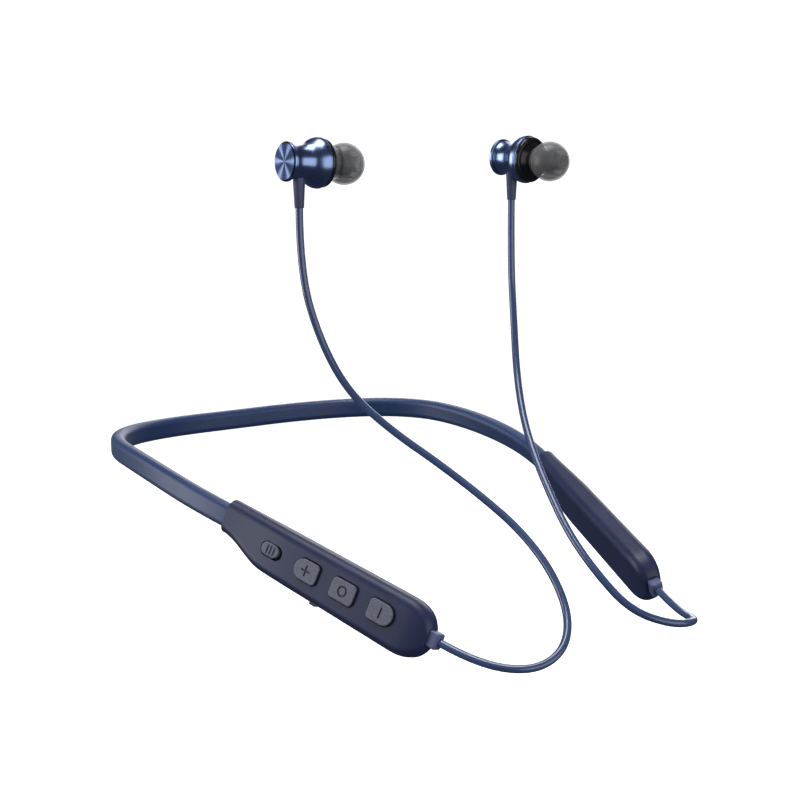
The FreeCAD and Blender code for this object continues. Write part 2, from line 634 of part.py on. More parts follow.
def ear_tip():
    """The silicone tip: a round dome over a stem that grips the nozzle."""
    def on_ball(radius, height, side):
        return (TIP_CENTRE_X + side * math.sqrt(radius ** 2 - height ** 2), height)

    inner = TIP_R - TIP_WALL
    hole = TUBE_R[0] + 0.2
    back, shoulder = TIP_X
    return turned([on_ball(TIP_R, hole, 1), (TIP_CENTRE_X, TIP_R, "arc"), on_ball(TIP_R, TIP_REAR_R, -1),
                   on_ball(inner, TIP_REAR_R - 0.3, -1), (TIP_CENTRE_X, inner, "arc"),
                   on_ball(inner, TIP_STEM_R, 1), (back, TIP_STEM_R), (back, TIP_BORE_R),
                   (shoulder, TIP_BORE_R), (shoulder, hole)])


def make_bud(side):
    """One earbud, with its strain relief hanging straight down."""
    placement = bud_placement(side)
    x, y, low = ROUTES[side][0]
    high = low + RELIEF_LENGTH
    inside = high + RELIEF_COLLAR
    top = inside + RELIEF_LUG[1]
    thin, thick = RELIEF_R
    cone = Part.makeCone(thin, thick, RELIEF_LENGTH, V(x, y, low))
    neck = rod(thick, (x, y, low + RELIEF_LENGTH / 2), (x, y, inside))
    lug = rod(thick + RELIEF_LUG[0], (x, y, inside), (x, y, top))
    for name, shape in bud_parts().items():
        shape.transformShape(placement.toMatrix())
        if name == "bud_shell":
            shape = shape.cut([neck, lug])
        NODES[side + "_" + name] = shape
    collar = rod(thick, (x, y, high), (x, y, inside))
    NODES[side + "_strain_relief"] = join([cone, collar, lug])


# ---------------------------------------------------------------- cords

def cord(route):
    """A round tube of straight runs and tangent bends along a route, with its length and its radii."""
    points = [V(*point) for point in route]
    edges = []
    last = points[0]
    radii = []
    for before, here, after in zip(points, points[1:], points[2:]):
        back, ahead = before - here, after - here
        reach = RUN_SHARE * min(back.Length, ahead.Length)
        half_turn = (math.pi - back.getAngle(ahead)) / 2
        radius = reach / math.tan(half_turn)
        radii.append(radius)
        start = here + V(back).normalize() * reach
        end = here + V(ahead).normalize() * reach
        middle_way = V(back).normalize() + V(ahead).normalize()
        middle_way.normalize()
        top = here + middle_way * (radius / math.cos(half_turn) - radius)
        edges.append(Part.makeLine(last, start))
        edges.append(Part.Arc(start, top, end).toShape())
        last = end
    edges.append(Part.makeLine(last, points[-1]))
    path = Part.Wire(edges)
    direction = points[1] - points[0]
    outline = Part.Wire(Part.makeCircle(CORD_D / 2, points[0], direction))
    tube = path.makePipeShell([outline], True, False)
    return tube, path.Length, radii


def make_cords():
    """The two free cords, each from a strain relief to a gland."""
    exit_left = LEFT.multVec(V(GLAND_X[1], 0, GLAND_Z))
    for side, sign in (("left", 1), ("right", -1)):
        tube, length, radii = cord(ROUTES[side] + [(sign * exit_left.x, exit_left.y, exit_left.z)])
        ratio = tube.Volume / (length * math.pi * CORD_D ** 2 / 4)
        print(side, "cord: length", round(length, 1), "volume ratio", round(ratio, 4))
        print("radii", [round(radius, 1) for radius in radii])
        NODES[side + "_cord"] = tube


# ---------------------------------------------------------------- build

def build():
    """Make every piece and write it to its own file."""
    os.makedirs("parts", exist_ok=True)
    make_band()
    make_right_housing()
    make_left_housing()
    make_bud("left")
    make_bud("right")
    make_cords()
    for name, shape in NODES.items():
        shape.exportStep("parts/" + name + ".step")
        print(name, "valid" if shape.isValid() else "NOT VALID", len(shape.Solids), round(shape.Volume, 1))


build()
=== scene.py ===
import json
import math

import bmesh
import bpy
from mathutils import Matrix, Vector


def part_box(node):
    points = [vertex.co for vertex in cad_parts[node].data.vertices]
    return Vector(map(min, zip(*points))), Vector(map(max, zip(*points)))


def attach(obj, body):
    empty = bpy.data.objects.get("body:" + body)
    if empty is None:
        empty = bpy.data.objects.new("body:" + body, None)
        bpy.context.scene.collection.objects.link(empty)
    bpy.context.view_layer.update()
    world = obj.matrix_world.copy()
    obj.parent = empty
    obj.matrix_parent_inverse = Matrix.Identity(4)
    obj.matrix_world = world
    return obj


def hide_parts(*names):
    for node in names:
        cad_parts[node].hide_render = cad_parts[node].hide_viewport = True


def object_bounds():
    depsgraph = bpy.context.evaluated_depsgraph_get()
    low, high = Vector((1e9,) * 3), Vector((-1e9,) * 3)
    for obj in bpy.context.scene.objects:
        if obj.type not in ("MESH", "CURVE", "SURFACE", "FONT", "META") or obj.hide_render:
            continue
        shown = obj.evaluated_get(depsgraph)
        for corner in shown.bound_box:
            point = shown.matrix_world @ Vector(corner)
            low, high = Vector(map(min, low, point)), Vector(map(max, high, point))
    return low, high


bl_info = {
    "name": "Neckband Earphones",
    "version": (1, 0, 0),
    "blender": (4, 5, 0),
    "location": "3D View > Sidebar > Earphones",
    "description": "Cords, turned buds, silicone tips and finishes of a pair of neckband earphones",
    "category": "Object",
}

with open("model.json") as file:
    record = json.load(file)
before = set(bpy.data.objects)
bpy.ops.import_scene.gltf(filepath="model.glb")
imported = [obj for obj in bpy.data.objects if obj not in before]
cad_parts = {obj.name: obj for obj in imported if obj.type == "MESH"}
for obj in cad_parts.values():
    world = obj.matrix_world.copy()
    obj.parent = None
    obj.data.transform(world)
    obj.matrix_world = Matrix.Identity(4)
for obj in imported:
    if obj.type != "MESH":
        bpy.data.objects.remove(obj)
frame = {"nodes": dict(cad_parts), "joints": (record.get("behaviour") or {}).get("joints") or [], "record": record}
NODES = frame["nodes"]
CAD_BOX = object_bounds()
MOUNTS = {mount["name"]: mount for mount in frame["record"]["mounts"]}
JOINTS = {joint["name"]: joint for joint in frame["joints"]}
MM = 0.001
SIDES = ("left", "right")

# Routes of the cords, in metres, from the foot of the strain relief to the gland
ROUTES = {
    "left": [
        (0.0363, -0.1015, 0.0779), (0.0363, -0.1015, 0.0600), (0.0330, -0.1072, 0.0420),
        (0.0277, -0.1149, 0.0284), (0.0215, -0.1252, 0.0173), (0.0165, -0.1358, 0.0088),
        (0.0124, -0.1470, 0.0006), (0.0092, -0.1587, -0.0082), (0.0088, -0.1700, -0.0164),
        (0.0114, -0.1804, -0.0246), (0.0194, -0.1880, -0.0280), (0.0300, -0.1872, -0.0291),
        (0.0352, -0.1747, -0.0307), (0.0382, -0.1642, -0.0278)],
    "right": [
        (-0.0384, -0.1015, 0.0772), (-0.0384, -0.1015, 0.0600), (-0.0354, -0.1063, 0.0418),
        (-0.0306, -0.1135, 0.0273), (-0.0234, -0.1246, 0.0174), (-0.0174, -0.1348, 0.0107),
        (-0.0118, -0.1472, 0.0028), (-0.0080, -0.1588, -0.0046), (-0.0070, -0.1703, -0.0132),
        (-0.0094, -0.1800, -0.0224), (-0.0164, -0.1856, -0.0289), (-0.0266, -0.1850, -0.0318),
        (-0.0352, -0.1747, -0.0307), (-0.0382, -0.1642, -0.0278)],
}
CORD_STEPS = 16             # faces along a cord between two points of its route
CORD_ROUNDING = 8           # steps of a quarter of its section

# Outlines of the turned pieces: (distance from the cap's face, radius) in millimetres along the
# bud's axis. A point given twice is a corner, and the line flows past the others.
CAP_OUTLINE = [
    (0.06, 0.0), (0.06, 0.0), (0.0, 4.7), (0.0, 4.92), (0.0, 4.92), (0.26, 5.2), (0.26, 5.2),
    (0.4, 5.35), (0.8, 5.36), (1.06, 5.34), (1.2, 5.1), (1.2, 5.1), (1.28, 4.3), (1.28, 4.3),
    (2.1, 4.1), (2.1, 4.1), (2.1, 3.05), (2.1, 3.05), (0.9, 3.05), (0.9, 3.05), (0.9, 0.0),
    (0.9, 0.0)]
SHELL_OUTLINE = [
    (1.32, 4.3), (1.32, 4.3), (1.36, 4.72), (1.5, 4.86), (1.9, 4.74), (3.1, 4.44), (4.9, 4.5),
    (6.6, 5.0), (8.0, 6.15), (9.3, 6.86), (10.3, 6.98), (10.72, 6.96), (10.72, 6.96),
    (10.86, 6.8), (10.98, 6.84), (11.2, 6.8), (11.4, 6.55), (11.42, 6.3), (11.42, 6.3),
    (11.42, 5.95), (11.42, 5.95), (9.6, 5.95), (8.2, 5.2), (6.4, 4.2), (4.6, 3.85),
    (2.3, 3.85), (2.3, 3.85), (2.3, 4.2), (2.3, 4.2), (1.32, 4.3), (1.32, 4.3)]
FRONT_OUTLINE = [
    (10.0, 5.0), (10.0, 5.0), (10.0, 5.88), (10.0, 5.88), (11.44, 5.88), (11.44, 5.88),
    (11.44, 6.6), (11.44, 6.6), (12.0, 6.64), (12.5, 6.5), (12.76, 6.1), (12.8, 5.7),
    (12.8, 5.45), (12.8, 5.45), (12.62, 5.3), (12.62, 5.3), (12.9, 4.95), (13.5, 4.1),
    (13.9, 3.4), (13.9, 2.75), (13.9, 2.75), (18.3, 2.7), (18.5, 2.75), (18.75, 3.04),
    (19.1, 3.06), (19.5, 3.0), (20.25, 2.62), (20.34, 2.3), (20.34, 1.92), (20.34, 1.92),
    (12.0, 1.92), (12.0, 1.92), (11.2, 4.6), (11.2, 5.0), (10.0, 5.0), (10.0, 5.0)]

CAP_FACE_DEPTH = 0.3        # how far behind the cap's front the painted reflection rays reach
FACING = 0.5                # least part of a normal along the bud for the face to carry the painted reflection rays

# The silicone tip: a ball with an open back, and a sleeve that grips the nozzle
TIP_CENTRE = 19.2
TIP_RADIUS = 5.75
TIP_WALL = 0.5
TIP_MOUTH = 22.0            # angles from the bud's axis, in degrees
TIP_REAR = 124.0
TIP_REAR_ROUNDING = 3.0
TIP_FRONT_INSIDE = 46.0
TIP_OUTER_STEPS = 40
TIP_INNER_STEPS = 30
TIP_SLEEVE = [
    (23.0, 3.86), (22.0, 3.82), (18.0, 3.78), (14.4, 3.84), (14.2, 3.7), (14.2, 3.3),
    (14.3, 3.12), (14.6, 3.1), (20.5, 3.1), (20.6, 3.0), (20.6, 2.3), (20.8, 2.12),
    (23.6, 2.1), (24.3, 2.12)]
TIP_SLEEVE_STEPS = 3
TIP_CORNER = 50.0           # least angle of an edge that stays sharp, in degrees

# The strain relief
RELIEF_FOOT_RADIUS = 1.36
RELIEF_TOP_RADIUS = 1.86
RELIEF_SIDES = 8
RELIEF_EDGE = 0.28
RELIEF_EDGE_STEPS = 4
RELIEF_RIM = 0.22
RELIEF_RIM_STEPS = 3

# The floor: the radius of its flat part, the radius of its curve and its height, in metres
FLOOR_FLAT = 1.5
FLOOR_BEND = 0.8
FLOOR_WALL = 3.0
FLOOR_BEND_STEPS = 12
FLOOR_STEPS = 72
FLOOR_GLOW = 0.95

# Each lamp: its direction from the object, its distance, its two sides, and its power in watts
LAMPS = {
    "front_softbox": ((0.10, -1.0, 0.10), 1.30, (2.00, 1.10), 11.0),
    "top_softbox": ((-0.05, 0.10, 1.0), 1.10, (0.80, 0.60), 9.0),
    "back_fill": ((0.85, 0.80, 0.30), 1.40, (1.20, 0.80), 6.0),
    "rear_softbox": ((-0.80, 0.55, 0.12), 1.20, (0.80, 0.80), 8.0),
}
STUDIO_DIMNESS = (0.055, 0.060, 0.085, 1.0)

# Distances that close a spun shape, in millimetres
CLOSE_OUTLINE = 0.004
CLOSE_SEAM = 0.002
CLOSE_SLIVER = 0.001

MIDDLE = 0.5                # middle of a noise's range

# Colours of the parts that a user wouldn't change
SPRING_STEEL = (0.50, 0.50, 0.52)
SWITCH_STEEL = (0.58, 0.58, 0.58)
WIRE_RED = (0.30, 0.02, 0.02)
LEAD_RED = (0.35, 0.03, 0.03)
SOCKET_PLATING = (0.62, 0.62, 0.64)
SCREEN_STEEL = (0.35, 0.35, 0.37)
# painted shade seen through the openings of the wire cloth
SCREEN_OPENING_SHADE = (0.004, 0.004, 0.004)
DRIVER_METAL = (0.52, 0.50, 0.42)
MAGNET_NICKEL = (0.6, 0.6, 0.62)
LACQUER_GREEN = (0.008, 0.055, 0.028)
TRACK_GREEN = (0.030, 0.130, 0.060)
RESIN_BLACK = (0.016, 0.016, 0.018)
PAD_GREY = (0.26, 0.26, 0.26)
PAD_BLOOM = (0.34, 0.34, 0.34)
CELL_FOIL = (0.62, 0.64, 0.66)
FOAM_BLACK = (0.05, 0.05, 0.05)
FLOOR_WHITE = ((0.80, 0.80, 0.80), (0.82, 0.82, 0.82))


# ---------------------------------------------------------------- settings

def colour(name, description, value):
    """A colour property with its default."""
    return bpy.props.FloatVectorProperty(
        name=name, description=description, default=value, subtype="COLOR", min=0.0, max=1.0)


def share(name, description, value):
    """A property from nothing to all."""
    return bpy.props.FloatProperty(
        name=name, description=description, default=value, min=0.0, max=1.0, subtype="FACTOR")


def length(name, description, value):
    """A length in metres."""
    return bpy.props.FloatProperty(name=name, description=description, default=value, unit="LENGTH")


class EARPHONES_PG_cords(bpy.types.PropertyGroup):
    """The two cords."""

    diameter: length("Diameter", "Outer diameter of the jacket", 0.0021)
    tint: colour("Jacket", "Colour of the jacket", (0.044, 0.074, 0.172))
    roughness: share("Roughness", "Roughness of the jacket", 0.24)


class EARPHONES_PG_band(bpy.types.PropertyGroup):
    """The neckband."""

    tint: colour("Rubber", "Colour of the band", (0.021, 0.050, 0.155))
    bloom: colour("Bloom", "Colour of the dusty bloom on the rubber", (0.042, 0.074, 0.175))
    roughness: share("Roughness", "Roughness of the rubber", 0.43)


class EARPHONES_PG_housings(bpy.types.PropertyGroup):
    """The two housings with their controls."""

    shell: colour("Shell", "Colour of the shells", (0.022, 0.029, 0.080))
    shell_roughness: share("Shell roughness", "Roughness of the shells", 0.40)
    key: colour("Keys", "Colour of the keys", (0.145, 0.153, 0.215))
    # Painted shade: colour for the floor of the cut signs
    sign: colour("Signs", "Colour of the cut signs", (0.020, 0.021, 0.040))
    gland: colour("Glands", "Colour of the glands", (0.110, 0.126, 0.240))
    relief: colour("Reliefs", "Colour of the strain reliefs", (0.074, 0.084, 0.165))


class EARPHONES_PG_buds(bpy.types.PropertyGroup):
    """The two buds."""

    metal: colour("Metal", "Colour of the anodised metal", (0.240, 0.325, 0.560))
    # Painted shade: colour of the dark sectors between the painted reflection rays of the turned cap
    painted_shade_metal: colour("Dark metal", "Colour between the rays of the turned cap", (0.020, 0.032, 0.080))
    front: colour("Front", "Colour of the front ring and the nozzle", (0.010, 0.010, 0.012))
    tip: colour("Tip", "Colour of the silicone", (0.185, 0.185, 0.185))
    tip_cover: share("Tip cover", "How much each surface of the silicone hides", 0.50)
    turning_steps: bpy.props.IntProperty(
        name="Turning steps", description="Faces round a turned piece", default=96, min=24, max=160,
        subtype="UNSIGNED")


class EARPHONES_PG_stage(bpy.types.PropertyGroup):
    """Camera, floor and lights."""

    azimuth: bpy.props.FloatProperty(
        name="Azimuth", description="Turn of the camera about the upright axis",
        default=math.radians(-36.045), subtype="ANGLE", unit="ROTATION")
    elevation: bpy.props.FloatProperty(
        name="Elevation", description="Height of the camera above the horizon",
        default=math.radians(9.617), subtype="ANGLE", unit="ROTATION")
    place: bpy.props.FloatVectorProperty(
        name="Camera", description="Place of the camera",
        default=(-0.25618, -0.44688, 0.09378), subtype="TRANSLATION", unit="LENGTH")
    lens: bpy.props.FloatProperty(
        name="Lens", description="Focal length", default=67.5, unit="CAMERA")
    floor_drop: length("Floor", "Distance from the lowest point down to the floor", 0.26)
    light: bpy.props.FloatProperty(
        name="Light", description="Strength of every lamp against its usual strength",
        default=1.0, min=0.0, soft_max=2.0, subtype="FACTOR")


class EARPHONES_PG_settings(bpy.types.PropertyGroup):
    """Everything that can be changed."""

    cords: bpy.props.PointerProperty(type=EARPHONES_PG_cords, name="Cords", description="The cords")
    band: bpy.props.PointerProperty(type=EARPHONES_PG_band, name="Band", description="The neckband")
    housings: bpy.props.PointerProperty(
        type=EARPHONES_PG_housings, name="Housings", description="The housings and their controls")
    buds: bpy.props.PointerProperty(type=EARPHONES_PG_buds, name="Buds", description="The buds")
    stage: bpy.props.PointerProperty(
        type=EARPHONES_PG_stage, name="Stage", description="Camera, floor and lights")


# ---------------------------------------------------------------- shader maths

class Value:
    """A socket that takes part in arithmetic: an expression on values adds its Math nodes."""

    def __init__(self, shader, socket):
        self.shader = shader
        self.socket = socket

    def math(self, operation, *values):
        inputs = dict(enumerate(values))
        return self.shader.node("ShaderNodeMath", {"operation": operation}, inputs)

    def __add__(self, other):
        return self.math("ADD", self, other)

    def __sub__(self, other):
        return self.math("SUBTRACT", self, other)

    def __rsub__(self, other):
        return self.math("SUBTRACT", other, self)

    def __mul__(self, other):
        return self.math("MULTIPLY", self, other)

    def __truediv__(self, other):
        return self.math("DIVIDE", self, other)

    def __pow__(self, other):
        return self.math("POWER", self, other)

    __radd__ = __add__
    __rmul__ = __mul__

    def clamped(self):
        return self.math("MINIMUM", self.math("MAXIMUM", self, 0.0), 1.0)


class Shader:
    """A material whose nodes all come from one method."""

    def __init__(self, name):
        self.material = bpy.data.materials.new(name)
        self.material.use_nodes = True
        self.tree = self.material.node_tree
        self.tree.nodes.clear()
        self.place = self.node("ShaderNodeTexCoord", output="Object")

    def node(self, kind, settings=None, inputs=None, output=0):
        """Adds a node: its settings first, then the values or links of its sockets."""
        made = self.tree.nodes.new(kind)
        for name, value in (settings or {}).items():
            setattr(made, name, value)
        for name, value in (inputs or {}).items():
            if isinstance(value, Value):
                self.tree.links.new(value.socket, made.inputs[name])
            else:
                made.inputs[name].default_value = value
        return Value(self, made.outputs[output]) if made.outputs else made

    def noise(self, size, detail=3.0, place=None):
        """Even noise from 0 to 1 whose spots are about the given size in metres."""
        inputs = {"Vector": place or self.place, "Scale": 1 / size, "Detail": detail}
        return self.node("ShaderNodeTexNoise", {"normalize": True}, inputs)

    def along(self, axis, origin=(0, 0, 0)):
        """Distance in metres from a point along an axis."""
        offset = self.node("ShaderNodeVectorMath", {"operation": "SUBTRACT"}, {0: self.place, 1: origin})
        return self.node("ShaderNodeVectorMath", {"operation": "DOT_PRODUCT"},
                         {0: offset, 1: axis}, output="Value")

    def stretched(self, scale):
        """The place with each axis scaled."""
        return self.node("ShaderNodeVectorMath", {"operation": "MULTIPLY"}, {0: self.place, 1: scale})

    def mix(self, factor, first, second):
        """One colour or another by a factor."""
        first = first if isinstance(first, Value) else (*first, 1.0)
        second = second if isinstance(second, Value) else (*second, 1.0)
        return self.node("ShaderNodeMix", {"data_type": "RGBA"}, {0: factor, 6: first, 7: second}, output=2)

    def surface(self, base, roughness, height=None, depth=0.0, **fixed):
        """Ends the material: colour, roughness, a relief of some depth in metres, and fixed sockets."""
        inputs = {"Base Color": base, "Roughness": roughness}
        if height is not None:
            inputs["Normal"] = self.node("ShaderNodeBump", {}, {"Height": height, "Distance": depth})
        inputs.update({name.replace("_", " "): value for name, value in fixed.items()})
        shaded = self.node("ShaderNodeBsdfPrincipled", {}, inputs)
        self.node("ShaderNodeOutputMaterial", {}, {"Surface": shaded})
        return self.material


# ---------------------------------------------------------------- finishes

def soft_rubber(name, tint, bloom, roughness):
    """Silicone rubber with a fine grain, a faint bloom and small scuffs."""
    shader = Shader(name)
    cloud = shader.noise(size=0.018, detail=4.0)
    grain = shader.noise(size=0.00022, detail=2.0)
    scuff = (shader.noise(size=0.004, detail=6.0) - 0.58) * 5.0
    base = shader.mix((cloud * 0.5 + scuff.clamped() * 0.25).clamped() * 0.6, tint, bloom)
    rough = roughness + (cloud - MIDDLE) * 0.12 + scuff.clamped() * 0.08 + (grain - MIDDLE) * 0.10
    return shader.surface(base, rough, grain, depth=0.00002, Sheen_Weight=0.12, Sheen_Roughness=0.4)


def moulded_plastic(name, tint, roughness, grain_size=0.00012, grain_depth=0.000012, variation=0.18):
    """Moulded plastic with spark-eroded grain and a little handling polish."""
    shader = Shader(name)
    cloud = shader.noise(size=0.012, detail=3.0)
    grain = shader.noise(size=grain_size, detail=2.0)
    light = tuple(min(1.0, value * 1.45 + 0.004) for value in tint)
    dark = tuple(value * 0.8 for value in tint)
    blend = MIDDLE + (cloud - MIDDLE) * variation * 4 + (grain - MIDDLE) * variation
    base = shader.mix(blend.clamped(), dark, light)
    rough = roughness + (cloud - MIDDLE) * 0.10 + (grain - MIDDLE) * 0.08
    return shader.surface(base, rough, grain, grain_depth, Specular_IOR_Level=0.35)


def key_plastic(name, tint, sign, outward, face):
    """Coarse-grained key plastic with painted shade on the floor of its cut signs."""
    shader = Shader(name)
    grain = shader.noise(size=0.00042, detail=4.0)
    dark = tuple(value * 0.45 for value in tint)
    light = tuple(value * 1.5 for value in tint)
    body = shader.mix(((grain - MIDDLE) * 1.6 + 0.5).clamped(), dark, light)
    # Painted shade: the floor of each cut sign, below the key's face, takes the dark sign colour.
    depth = shader.along(outward, face) * -1.0
    wall_top, wall_height = 0.12 * MM, 0.08 * MM
    floor = ((depth - wall_top) / wall_height).clamped()
    base = shader.mix(floor, body, sign)
    return shader.surface(base, 0.52 + (grain - MIDDLE) * 0.2, grain, depth=0.00003)


def cord_jacket(name, tint, roughness):
    """Smooth extruded jacket with faint streaks."""
    shader = Shader(name)
    streak = shader.noise(size=0.0006, detail=3.0, place=shader.stretched((1.0, 1.0, 0.12)))
    cloud = shader.noise(size=0.010, detail=3.0)
    light = tuple(min(1.0, value * 1.5 + 0.004) for value in tint)
    base = shader.mix((streak * 0.5 + cloud * 0.5).clamped(), tint, light)
    rough = roughness + (streak - MIDDLE) * 0.10
    return shader.surface(base, rough, streak, depth=0.000008, Coat_Weight=0.6, Coat_Roughness=0.10)


def turned_metal(name, tint, place, roughness):
    """Anodised metal with fine marks of the lathe round the bud's axis."""
    shader = Shader(name)
    axis = Vector(place.col[0][:3])
    distance = shader.along(axis, place.translation)
    lines = shader.node("ShaderNodeTexNoise", {"noise_dimensions": "1D"},
                        {"W": distance, "Scale": 14000.0, "Detail": 2.0})
    cloud = shader.noise(size=0.006, detail=3.0)
    dark = tuple(value * 0.72 for value in tint)
    base = shader.mix((lines * 0.6 + cloud * 0.4).clamped(), dark, tint)
    rough = roughness + (lines - MIDDLE) * 0.14
    return shader.surface(base, rough, lines, depth=0.000004, Metallic=1.0)


def painted_reflection_metal(name, tint, dark, place):
    """The cap's face: concentric turning marks, with painted reflection: light sectors that fan out from the
    middle and darker sectors between them, painted into the colour.
    """
    shader = Shader(name)
    forward, across, upward = [Vector(place.col[index][:3]) for index in range(3)]
    side = shader.along(across, place.translation)
    height = shader.along(upward, place.translation)
    angle = height.math("ARCTAN2", height, side)
    radius = ((side * side) + (height * height)) ** 0.5
    rings = shader.node("ShaderNodeTexNoise", {"noise_dimensions": "1D"},
                        {"W": radius, "Scale": 9000.0, "Detail": 2.0})
    swing = shader.node("ShaderNodeTexNoise", {"noise_dimensions": "1D"},
                        {"W": angle.math("COSINE", angle), "Scale": 3.2, "Detail": 3.0})
    # Painted reflection: six light sectors round the axis, their edges bent by noise, stand in for the highlight a
    # turned face throws.
    phase = angle * 6.0 + (swing - MIDDLE) * 3.0
    painted_ray = phase.math("COSINE", phase) * 0.5 + 0.5
    painted_highlight = (painted_ray ** 2.6 * 0.9 + (rings - MIDDLE) * 0.18).clamped()
    # The dark colour is the painted shade between the painted highlight sectors.
    base = shader.mix(painted_highlight, dark, tint)
    return shader.surface(base, 0.30 + (rings - MIDDLE) * 0.16, rings, depth=0.000006, Metallic=1.0)


def silicone(name, tint, cover):
    """Clear grey silicone, a little cloudy."""
    shader = Shader(name)
    cloud = shader.noise(size=0.003, detail=3.0)
    grain = shader.noise(size=0.0002, detail=2.0)
    light = tuple(value * 1.25 for value in tint)
    base = shader.mix(cloud, tint, light)
    rough = 0.34 + (grain - MIDDLE) * 0.12
    return shader.surface(base, rough, grain, depth=0.000008, Alpha=cover, IOR=1.41,
                          Subsurface_Weight=0.15, Subsurface_Scale=0.001)


def plain_metal(name, tint, roughness, line_size=0.0002):
    """Brushed or plated metal of the inner parts."""
    shader = Shader(name)
    brush = shader.noise(size=line_size, detail=3.0, place=shader.stretched((1.0, 0.08, 1.0)))
    cloud = shader.noise(size=0.003, detail=3.0)
    dark = tuple(value * 0.7 for value in tint)
    base = shader.mix((brush * 0.5 + cloud * 0.5).clamped(), dark, tint)
    return shader.surface(base, roughness + (brush - MIDDLE) * 0.2, brush, depth=0.000005, Metallic=1.0)


def board_laminate(name, tint, copper):
    """Green board with fine tracks under its lacquer."""
    shader = Shader(name)
    cells = shader.node("ShaderNodeTexVoronoi", {"feature": "DISTANCE_TO_EDGE"},
                        {"Vector": shader.place, "Scale": 900.0})
    track = (1 - (cells * 14.0).clamped()).clamped()
    weave = shader.noise(size=0.0003, detail=2.0)
    base = shader.mix(track * 0.55, tint, copper)
    return shader.surface(base, 0.28 + (weave - MIDDLE) * 0.1, track, depth=0.00002, Coat_Weight=0.4)


def woven_screen(name, tint):
    """Fine wire cloth over the sound hole, with painted shade in its openings."""
    shader = Shader(name)
    cells = shader.node("ShaderNodeTexVoronoi", {"feature": "F1"},
                        {"Vector": shader.place, "Scale": 5200.0})
    # Painted shade: the openings of the cloth take a near-black colour for the dark space behind them.
    hole = ((0.45 - cells) * 6.0).clamped()
    base = shader.mix(hole, tint, SCREEN_OPENING_SHADE)
    return shader.surface(base, 0.35 + hole * 0.4, 1 - hole, depth=0.00004, Metallic=0.9)


# ---------------------------------------------------------------- modelling

def flowing(points, steps=5):
    """A smooth outline guided by a few points. A point given twice stays a corner."""
    guides = [Vector(point) for point in points]
    outline = [guides[0]]
    for before, here, after in zip(guides, guides[1:], guides[2:]):
        start, end = (before + here) / 2, (here + after) / 2
        for step in range(1, steps + 1):
            t = step / steps
            outline.append(start * (1 - t) ** 2 + here * (2 * t * (1 - t)) + end * t ** 2)
    outline.append(guides[-1])
    return outline


def ball_arc(centre, radius, start, end, steps):
    """Points of an arc about a place on the axis, from one angle to another in degrees."""
    angles = [math.radians(start + (end - start) * step / steps) for step in range(steps + 1)]
    return [Vector((centre + radius * math.cos(angle), radius * math.sin(angle))) for angle in angles]


def spun(outline, steps):
    """A closed shape turned about the x axis from (x, radius) points in millimetres."""
    shape = bmesh.new()
    vertices = [shape.verts.new((x * MM, radius * MM, 0.0)) for x, radius in outline]
    for first, second in zip(vertices, vertices[1:]):
        shape.edges.new((first, second))
    bmesh.ops.remove_doubles(shape, verts=shape.verts, dist=CLOSE_OUTLINE * MM)
    bmesh.ops.spin(shape, geom=shape.verts[:] + shape.edges[:], cent=(0, 0, 0), axis=(1, 0, 0),
                   angle=math.tau, steps=steps, use_merge=True)
    bmesh.ops.remove_doubles(shape, verts=shape.verts, dist=CLOSE_SEAM * MM)
    bmesh.ops.dissolve_degenerate(shape, edges=shape.edges, dist=CLOSE_SLIVER * MM)
    bmesh.ops.recalc_face_normals(shape, faces=shape.faces)
    return shape


def finished(name, shape, body, material, replaces, corner=32.0):
    """Puts a shape into the scene as a piece: smooth, with edges sharper than a corner kept."""
    mesh = bpy.data.meshes.new(name)
    shape.to_mesh(mesh)
    shape.free()
    mesh.shade_smooth()
    mesh.set_sharp_from_angle(angle=math.radians(corner))
    mesh.materials.append(material)
    piece = bpy.data.objects.new(name, mesh)
    bpy.context.scene.collection.objects.link(piece)
    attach(piece, body)
    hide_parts(*replaces)
    return piece


def bud_place(side):
    """Turns what is drawn along +X, from the cap's face, onto that side's bud."""
    mount = MOUNTS[side + "_cap_face"]
    forward = -Vector(mount["axis"]).normalized()
    across = Vector((0, 0, 1)).cross(forward).normalized()
    upward = forward.cross(across)
    turn = Matrix((forward, across, upward)).transposed().to_4x4()
    return Matrix.Translation(Vector(mount["pos_m"])) @ turn


def dress(node, material):
    """Gives a CAD node its finish."""
    mesh = NODES[node].data
    mesh.materials.clear()
    mesh.materials.append(material)


# ---------------------------------------------------------------- operators

